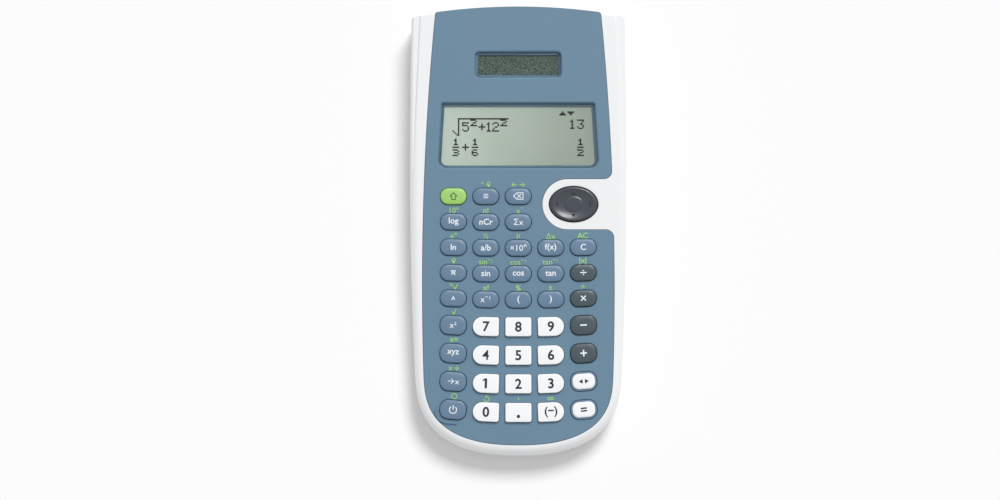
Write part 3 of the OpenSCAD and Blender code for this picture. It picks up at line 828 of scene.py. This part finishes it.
def legend(name, text, size, x, y, turn, z, bold=0.0):
    """Printed text, centred at a place on the flat face."""
    curve = bpy.data.curves.new(name, "FONT")
    curve.body = text
    curve.size = size * MM
    curve.extrude = ink_thickness / 2 * MM
    # Thickening spoils the joins of drawn symbols, and closes the bowl of a 4.
    plain = text.replace("\u2212", "-").isascii()
    weight = min(bold, 0.013) if text == "4" else bold
    curve.offset = weight * size * MM if plain else 0
    curve.resolution_u = 3
    curve.align_x = "CENTER"
    obj = bpy.data.objects.new(name, curve)
    bpy.context.scene.collection.objects.link(obj)
    choose(obj)
    bpy.ops.object.convert(target="MESH")
    obj = bpy.context.object
    ys = [v.co.y for v in obj.data.vertices]
    middle = (min(ys) + max(ys)) / 2
    put(obj, Matrix.Translation((x * MM, y * MM, z * MM)) @ Matrix.Rotation(turn, 4, "Z")
        @ Matrix.Translation((0, -middle, 0)))
    return obj


def legend_style(name, row, column):
    """(size, boldness, ink) of a key's own legend."""
    if name in ("answer", "enter", "point"):
        return {"answer": 1.9, "enter": 4.6, "point": 8.0}[name], 0.02, ink_black
    if is_number(row, column):
        return (5.2 if name.isdigit() else 4.2), 0.024, ink_black
    if name in ("divide", "multiply", "minus", "plus"):
        return 5.0, 0.012, ink_white
    if name in ("shift", "mode", "delete", "on"):
        return 3.8, 0.01, ink_black if name == "shift" else ink_white
    return 3.25, 0.011, ink_white


def digit_one(name, size, x, y, turn, z):
    """The digit 1 with its flag, drawn from listed points, because the built-in font has a bare stroke."""
    high, half, flag = size * 0.36, size * 0.085, size * 0.24
    points = [(half, -high), (half, high), (-half * 0.7, high), (-flag, high * 0.66), (-flag, high * 0.36),
              (-half, high * 0.62), (-half, -high)]
    obj = loft(name, [ring(points, z - ink_thickness / 2), ring(points, z + ink_thickness / 2)])
    return put(obj, Matrix.Translation((x * MM, y * MM, 0)) @ Matrix.Rotation(turn, 4, "Z"))


for name, text, _, row, column in KEYS:
    x, y, turn = places[name]
    size, bold, ink = legend_style(name, row, column)
    z = (number_rise if is_number(row, column) else function_rise) - 0.01
    if name == "1":
        printed = digit_one("legend_1", size, x, y, turn, z)
    else:
        lower = 1.5 if name == "point" else 0.0
        printed = legend("legend_" + name, text, size, x, y - lower, turn, z, bold)
    slot = "key_dark" if ink is ink_black else "key_white"
    finish(printed, ink, "key_" + name)
print("legends printed:", len(KEYS))

# %% Second legends on the panel
second_rise = 4.5
second_size = 3.0
seconds = []
for name, _, text, row, column in KEYS:
    if text:
        x, y, turn = places[name]
        up = second_rise + (0.6 if row > 4 else 0.0)
        seconds.append(legend("second_" + name, text, second_size, x - up * math.sin(turn),
                              y + up * math.cos(turn), turn, z=0.01, bold=0.01))
second = joined(seconds)
second.name = "panel_legends"
finish(second, ink_green, "root")
print("second legends:", len(seconds))

# %% [markdown]
# ## Cursor pad
# The pad is an oval disc with a raised rim, a dished top and a small flat in the middle. The rings of its
# loft are ovals again. Underneath, it is hollow round the post that carries it, so that it can rock.

# %% Cursor pad
pad_profile = [
    # inset from the rim, height above the face
    (0.0, -3.0), (0.0, 0.35), (0.06, 0.58), (0.2, 0.76), (0.42, 0.87), (0.7, 0.9), (0.95, 0.86), (1.15, 0.76),
    (1.5, 0.64), (2.1, 0.47), (2.9, 0.33), (3.5, 0.24), (3.7, 0.24), (3.85, 0.36), (4.05, 0.4), (4.7, 0.4),
]


def pad_ring(inset, z):
    """A ring of the pad. The middle rings get rounder, as the flat in the middle is."""
    share = inset / pad_half[1]
    half = (pad_half[0] * (1 - share) - share * 0.6, pad_half[1] * (1 - share))
    return ring(oval(half), z)


pad = loft("cursor_pad", [pad_ring(inset, z) for inset, z in pad_profile])
hollow_diameter = 4.8
boolean(pad, cylinder("hollow", pad_x, pad_y, -4, -0.6, hollow_diameter))
pin_radius = 0.78
pin_length = 7.2
pin_depth = 1.35
deselect()
bpy.ops.mesh.primitive_cylinder_add(vertices=24, radius=pin_radius * MM, depth=pin_length * MM,
                                    rotation=(math.pi / 2, 0, 0),
                                    location=(pad_x * MM, pad_y * MM, -pin_depth * MM))
bpy.ops.object.transform_apply(location=True, rotation=True)
boolean(pad, bpy.context.object)
finish(pad, abs_pad, "nav_pad", ["nav_pad"], angle=40)
print("pad:", len(pad.data.polygons), "faces")

# %% Arrow marks on the pad
arrow_points = [(0.7, 0.0), (-0.45, 0.75), (-0.45, -0.75)]
arrows = []
for degrees, reach in ((0, 6.5), (90, 4.25), (180, 6.5), (270, 4.25)):
    angle = math.radians(degrees)
    mark = loft("arrow", [ring(arrow_points, 0.2), ring(arrow_points, 0.62)])
    x = pad_x + reach * math.cos(angle)
    y = pad_y + reach * math.sin(angle)
    spot = Matrix.Translation((x * MM, y * MM, 0))
    arrows.append(put(mark, spot @ Matrix.Rotation(angle, 4, "Z")))
arrow = joined(arrows)
arrow.name = "pad_arrows"
finish(arrow, ink_black, "nav_pad")

# %% [markdown]
# ## Windows and display
# The display is a sandwich. On top is a clear acrylic window, below it the liquid crystal glass with its
# grey-green reflector, and in between are the dark dots of the picture. The dots are real squares of a dot
# matrix. Each character is drawn on a grid 5 wide, as the display's own characters are.

# %% Glass materials


def clear_window(name):
    """Clear acrylic, thin: it only adds its own shine, so what is below stays bright."""
    material = bpy.data.materials.new(name)
    material.use_nodes = True
    shader = material.node_tree.nodes["Principled BSDF"]
    place = add(material, "ShaderNodeTexCoord").outputs["Object"]
    smear = add(material, "ShaderNodeTexNoise", {"Vector": place, "Scale": 1 / (9 * MM), "Detail": 4.0})
    rough = add(material, "ShaderNodeMapRange", {
        "Value": smear.outputs["Fac"], "To Min": 0.04, "To Max": 0.12})
    material.node_tree.links.new(rough.outputs["Result"], shader.inputs["Roughness"])
    shader.inputs["Base Color"].default_value = linear("#1A1E1C")
    shader.inputs["IOR"].default_value = 1.49
    shader.inputs["Alpha"].default_value = 0.07
    return material


def display_glass(name):
    """The reflector behind the liquid crystal: a brushed-looking grey-green foil, a little uneven at random,
    with a painted reflection that lightens its left side and darkens its right.
    """
    material = bpy.data.materials.new(name)
    material.use_nodes = True
    shader = material.node_tree.nodes["Principled BSDF"]
    place = add(material, "ShaderNodeTexCoord").outputs["Object"]
    axes = add(material, "ShaderNodeSeparateXYZ", {"Vector": place})
    # Painted reflection: the foil's colour runs from light at the left to darker at the right, as glare on
    # the display falls. Only the cloud below is the foil's own random unevenness.
    painted_glare = add(material, "ShaderNodeMapRange", {
        "Value": axes.outputs["X"], "From Min": -32 * MM, "From Max": 32 * MM})
    cloud = add(material, "ShaderNodeTexNoise", {"Vector": place, "Scale": 1 / (18 * MM), "Detail": 2.0})
    uneven = add(material, "ShaderNodeMapRange", {
        "Value": cloud.outputs["Fac"], "To Min": -0.15, "To Max": 0.15})
    glare_and_unevenness = add(material, "ShaderNodeMath", {0: painted_glare.outputs["Result"], 1: uneven.outputs["Result"]},
                operation="ADD")
    # The ramp's light end is the painted reflection at the left, and its darker end is the painted shade at
    # the right.
    ramp = add(material, "ShaderNodeValToRGB", {"Fac": glare_and_unevenness.outputs[0]})
    ramp.color_ramp.elements[0].position = 0.1
    ramp.color_ramp.elements[0].color = linear("#D3E2D4")
    ramp.color_ramp.elements[1].position = 1.0
    ramp.color_ramp.elements[1].color = linear("#A2B0A2")
    grain = add(material, "ShaderNodeTexNoise", {"Vector": place, "Scale": 1 / (0.3 * MM), "Detail": 2.0})
    bump = add(material, "ShaderNodeBump", {
        "Height": grain.outputs["Fac"], "Strength": 0.3, "Distance": 0.01 * MM})
    tree = material.node_tree
    tree.links.new(ramp.outputs["Color"], shader.inputs["Base Color"])
    tree.links.new(bump.outputs["Normal"], shader.inputs["Normal"])
    shader.inputs["Roughness"].default_value = 0.42
    shader.inputs["IOR"].default_value = 1.52
    return material


def solar_silicon(name):
    """Amorphous silicon on glass: dark grey-green with a fine sparkle, and a bright seam down the middle."""
    material = bpy.data.materials.new(name)
    material.use_nodes = True
    shader = material.node_tree.nodes["Principled BSDF"]
    place = add(material, "ShaderNodeTexCoord").outputs["Object"]
    speck = add(material, "ShaderNodeTexNoise", {"Vector": place, "Scale": 1 / (0.45 * MM), "Detail": 4.0})
    ramp = add(material, "ShaderNodeValToRGB", {"Fac": speck.outputs["Fac"]})
    ramp.color_ramp.elements[0].position = 0.36
    ramp.color_ramp.elements[0].color = linear("#233029")
    ramp.color_ramp.elements[1].position = 0.66
    ramp.color_ramp.elements[1].color = linear("#71897C")
    axes = add(material, "ShaderNodeSeparateXYZ", {"Vector": place})
    quarter = solar_width * MM / 4
    half_seam = 0.12 * MM
    shifted = add(material, "ShaderNodeMath", {0: axes.outputs["X"], 1: quarter * 2}, operation="ADD")
    folded = add(material, "ShaderNodeMath", {0: shifted.outputs[0], 1: quarter}, operation="PINGPONG")
    seam = add(material, "ShaderNodeMath", {0: folded.outputs[0], 1: half_seam}, operation="LESS_THAN")
    toned = add(material, "ShaderNodeMix", {"Factor": seam.outputs[0]}, data_type="RGBA")
    tree = material.node_tree
    tree.links.new(ramp.outputs["Color"], toned.inputs[6])
    toned.inputs[7].default_value = linear("#66756A")
    tree.links.new(toned.outputs[2], shader.inputs["Base Color"])
    shader.inputs["Roughness"].default_value = 0.3
    shader.inputs["IOR"].default_value = 1.52
    return material


acrylic = clear_window("acrylic clear")
liquid_crystal = display_glass("liquid crystal reflector")
silicon = solar_silicon("silicon solar film")

# %% Windows
window_top = -window_depth
window_low = window_top - window_thickness
for name, outline in (("display", display_outline), ("solar", solar_outline)):
    rings = [ring(outline(0.1), window_low), ring(outline(0.1), window_top - 0.15)]
    rings.append(ring(outline(0.25), window_top))
    window = loft(name + "_window_pane", rings)
    finish(window, acrylic, "root", [name + "_window"])

# %% Display glass and its picture
crystal_top = -panel_thickness
crystal = loft("crystal_glass", [ring(soft_rectangle(-31.1, lcd_y - 13.9, 31.1, lcd_y + 13.8, 0.4, i), z)
                                 for i, z in ((0.15, -4.2), (0, -4.05), (0, -2.12), (0.12, -2.0))])
finish(crystal, liquid_crystal, "root", ["lcd_glass"])
GLYPHS = {
    "1": "..#.. .##.. ..#.. ..#.. ..#.. ..#.. .###.",
    "2": ".###. #...# ....# ..##. .#... #.... #####",
    "3": "##### ....# ...#. ..##. ....# #...# .###.",
    "5": "##### #.... ####. ....# ....# #...# .###.",
    "+": "..... ..#.. ..#.. ##### ..#.. ..#.. .....",
    "s1": "..#.. .##.. ..#.. ..#.. .###.",
    "s2": "####. ....# ..##. .#... #####",
    "s3": "####. ....# .###. ....# ####.",
    "s6": ".###. #.... ####. #...# .###.",
    "bar": "#####",
    "root": "....# ....# ....# ....# ....# ....# ....# ....# #...# .#..# ..#.# ...##",
    "up": "..#.. .###. #####",
    "down": "##### .###. ..#..",
}
PICTURE = [
    # glyph, column, row
    ("root", 0, 1), ("5", 7, 3), ("s2", 13, 1), ("+", 19, 3), ("1", 24, 3), ("2", 29, 3), ("s2", 35, 1),
    ("1", 85, 1), ("3", 91, 1),
    ("s1", 0, 15), ("bar", 0, 21), ("s3", 0, 23), ("+", 7, 18),
    ("s1", 14, 15), ("bar", 14, 21), ("s6", 14, 23),
    ("s1", 91, 15), ("bar", 91, 21), ("s2", 91, 23), ("up", 78, -5), ("down", 84, -5),
]
dot_pitch = 0.525
dot_size = 0.56
picture_left = -25.2
picture_top = lcd_y + 6.4


def dots():
    """(column, row) of every dark dot."""
    found = [(column, 0) for column in range(4, 41)]
    for glyph, column, row in PICTURE:
        for down, line in enumerate(GLYPHS[glyph].split()):
            found += [(column + i, row + down) for i, mark in enumerate(line) if mark == "#"]
    return found


square = ((0, 0), (dot_size, 0), (dot_size, dot_size), (0, dot_size))
vertices, faces = [], []
for column, row in dots():
    x = picture_left + column * dot_pitch
    y = picture_top - row * dot_pitch
    first = len(vertices)
    vertices += [Vector((x + dx, y + dy, crystal_top + 0.02)) * MM for dx, dy in square]
    faces.append((first, first + 1, first + 2, first + 3))
mesh = bpy.data.meshes.new("display_dots")
mesh.from_pydata(vertices, [], faces)
picture = bpy.data.objects.new("display_dots", mesh)
bpy.context.scene.collection.objects.link(picture)
choose(picture)
thick = picture.modifiers.new("thick", "SOLIDIFY")
thick.thickness = 0.04 * MM
bpy.ops.object.modifier_apply(modifier=thick.name)
finish(picture, ink_black, "root")
print("dots in the picture:", len(faces))

# %% Solar cell
cell_x = solar_width / 2 + 1
cell_low = solar_y - solar_height / 2 - 1
cell_high = solar_y + solar_height / 2 + 1
cell = loft("solar_cell_plate", [ring(soft_rectangle(-cell_x, cell_low, cell_x, cell_high, 0.4, i), z)
                                 for i, z in ((0.1, -3.1), (0, -3.0), (0, -2.1), (0.1, -2.0))])
finish(cell, silicon, "root", ["solar_cell"])

# %% [markdown]
# ## Feet
# Four rubber feet stand out of the back. Each is a low puck with a rounded edge and a shallow dish, moulded
# once and copied.

# %% Feet
foot_diameter = 8.0
foot_profile = [
    # inset from the side, height above the table
    (0.3, 1.2), (0.0, 1.0), (0.0, 0.45), (0.12, 0.2), (0.35, 0.05), (0.7, 0.0), (2.2, 0.0), (2.6, 0.2),
]


def circle(radius, points=40):
    """A round outline."""
    return [(radius * math.cos(2 * math.pi * i / points), radius * math.sin(2 * math.pi * i / points))
            for i in range(points)]


foot = loft("foot", [ring(circle(foot_diameter / 2 - inset), z) for inset, z in foot_profile])
feet = [copy_of(foot, f"foot_{i}", Matrix.Translation((x * MM, y * MM, 0)))
        for i, (x, y) in enumerate(foot_places)]
bpy.data.objects.remove(foot)
pads = joined(feet)
pads.name = "feet"
finish(pads, rubber, "root", ["rubber_feet"], face=False, angle=40)

# %% [markdown]
# ## Metals and the inner pieces
# The inner pieces keep the shapes that the frame gives them. They get real finishes too: plated screws, a
# stainless cell, green glass-epoxy board and an amber film.

# %% Metals and carried-over pieces


def metal(name, colour, roughness, line_mm=0.08):
    """A plated or rolled metal with fine drawn lines. A metal keeps the default IOR."""
    material = bpy.data.materials.new(name)
    material.use_nodes = True
    shader = material.node_tree.nodes["Principled BSDF"]
    place = add(material, "ShaderNodeTexCoord").outputs["Object"]
    drawn = add(material, "ShaderNodeMapping", {"Vector": place, "Scale": (1.0, 0.05, 1.0)})
    lines = add(material, "ShaderNodeTexNoise", {
        "Vector": drawn.outputs["Vector"], "Scale": 1 / (line_mm * MM), "Detail": 3.0})
    rough = add(material, "ShaderNodeMapRange", {
        "Value": lines.outputs["Fac"], "To Min": roughness - 0.08, "To Max": roughness + 0.1})
    material.node_tree.links.new(rough.outputs["Result"], shader.inputs["Roughness"])
    shader.inputs["Base Color"].default_value = linear(colour)
    shader.inputs["Metallic"].default_value = 1.0
    return material


steel_screw = metal("steel zinc plated", "#A9ABAE", 0.32)
steel_cell = metal("steel stainless can", "#C9CACB", 0.24)
steel_clip = metal("steel nickel plated", "#BFC0C0", 0.3)
board_mask = plastic("glass epoxy solder mask", "#1F5A34", 0.25, ior=1.55, grain_mm=0.5, grain_depth_mm=0.01,
                     mottle=0.12)
film = plastic("polyimide film", "#B27A22", 0.22, ior=1.7, grain_mm=0.4, mottle=0.05)
KEPT = {
    "case_screws": steel_screw, "board_screws": steel_screw,
    "coin_cell": steel_cell, "battery_clip": steel_clip,
    "main_board": board_mask, "processor_cap": epoxy, "lcd_ribbon": film,
    "keypad_membrane": silicone, "lcd_frame": abs_shell, "nav_pivot": acetal,
}
for node, material in KEPT.items():
    kept = frame["nodes"][node]
    kept.data.materials.clear()
    kept.data.materials.append(material)
print("kept nodes with a new finish:", len(KEPT))

# %% [markdown]
# ## Floor, light and camera
# A plain pale floor and soft studio light show the colours as they are. The key light stands at the upper
# right and is broad, so the keys cast short soft shadows to the lower left. The world fills the rest, and the
# two together give a level at which a colour renders about as it is written.

# %% Floor
deselect()
bpy.ops.mesh.primitive_plane_add(size=6, location=(0, 0, 0))
floor = bpy.context.object
floor.name = "floor"
floor_paint = bpy.data.materials.new("floor paint")
floor_paint.use_nodes = True
floor_shader = floor_paint.node_tree.nodes["Principled BSDF"]
floor_shader.inputs["Base Color"].default_value = (0.96, 0.96, 0.965, 1)
floor_shader.inputs["Roughness"].default_value = 0.9
floor_shader.inputs["Specular IOR Level"].default_value = 0.1
floor.data.materials.append(floor_paint)

# %% Light
world = bpy.data.worlds.new("studio")
bpy.context.scene.world = world
world.use_nodes = True
world.node_tree.nodes["Background"].inputs["Color"].default_value = (1, 1, 1, 1)
world.node_tree.nodes["Background"].inputs["Strength"].default_value = 0.55
lamp = bpy.data.lights.new("key light", "SUN")
lamp.energy = 1.85
lamp.angle = math.radians(22)
sun = bpy.data.objects.new("key light", lamp)
bpy.context.scene.collection.objects.link(sun)
toward_light = Vector((0.3, 0.72, 1.0)).normalized()
sun.rotation_euler = toward_light.to_track_quat("Z", "Y").to_euler()
print("light stands", round(math.degrees(math.asin(toward_light.z))), "degrees high")

# %% [markdown]
# The camera looks down on the face through a long lens, leaning only a few degrees from straight above.

# %% Camera
camera_data = bpy.data.cameras.new("camera")
camera = bpy.data.objects.new("camera", camera_data)
bpy.context.scene.collection.objects.link(camera)
bpy.context.scene.camera = camera
distance = 0.9
view_width = 380.5 * MM
camera_data.lens = camera_data.sensor_width * distance / view_width
elevation = math.radians(82)
aim = Vector((-6.96 * MM, -8.45 * MM, face_height * MM))
back = Vector((0, -math.cos(elevation), math.sin(elevation)))
camera.location = aim + back * distance
camera.rotation_euler = back.to_track_quat("Z", "Y").to_euler()
bpy.context.scene.view_settings.view_transform = "Standard"
print("lens", round(camera_data.lens, 1), "mm")
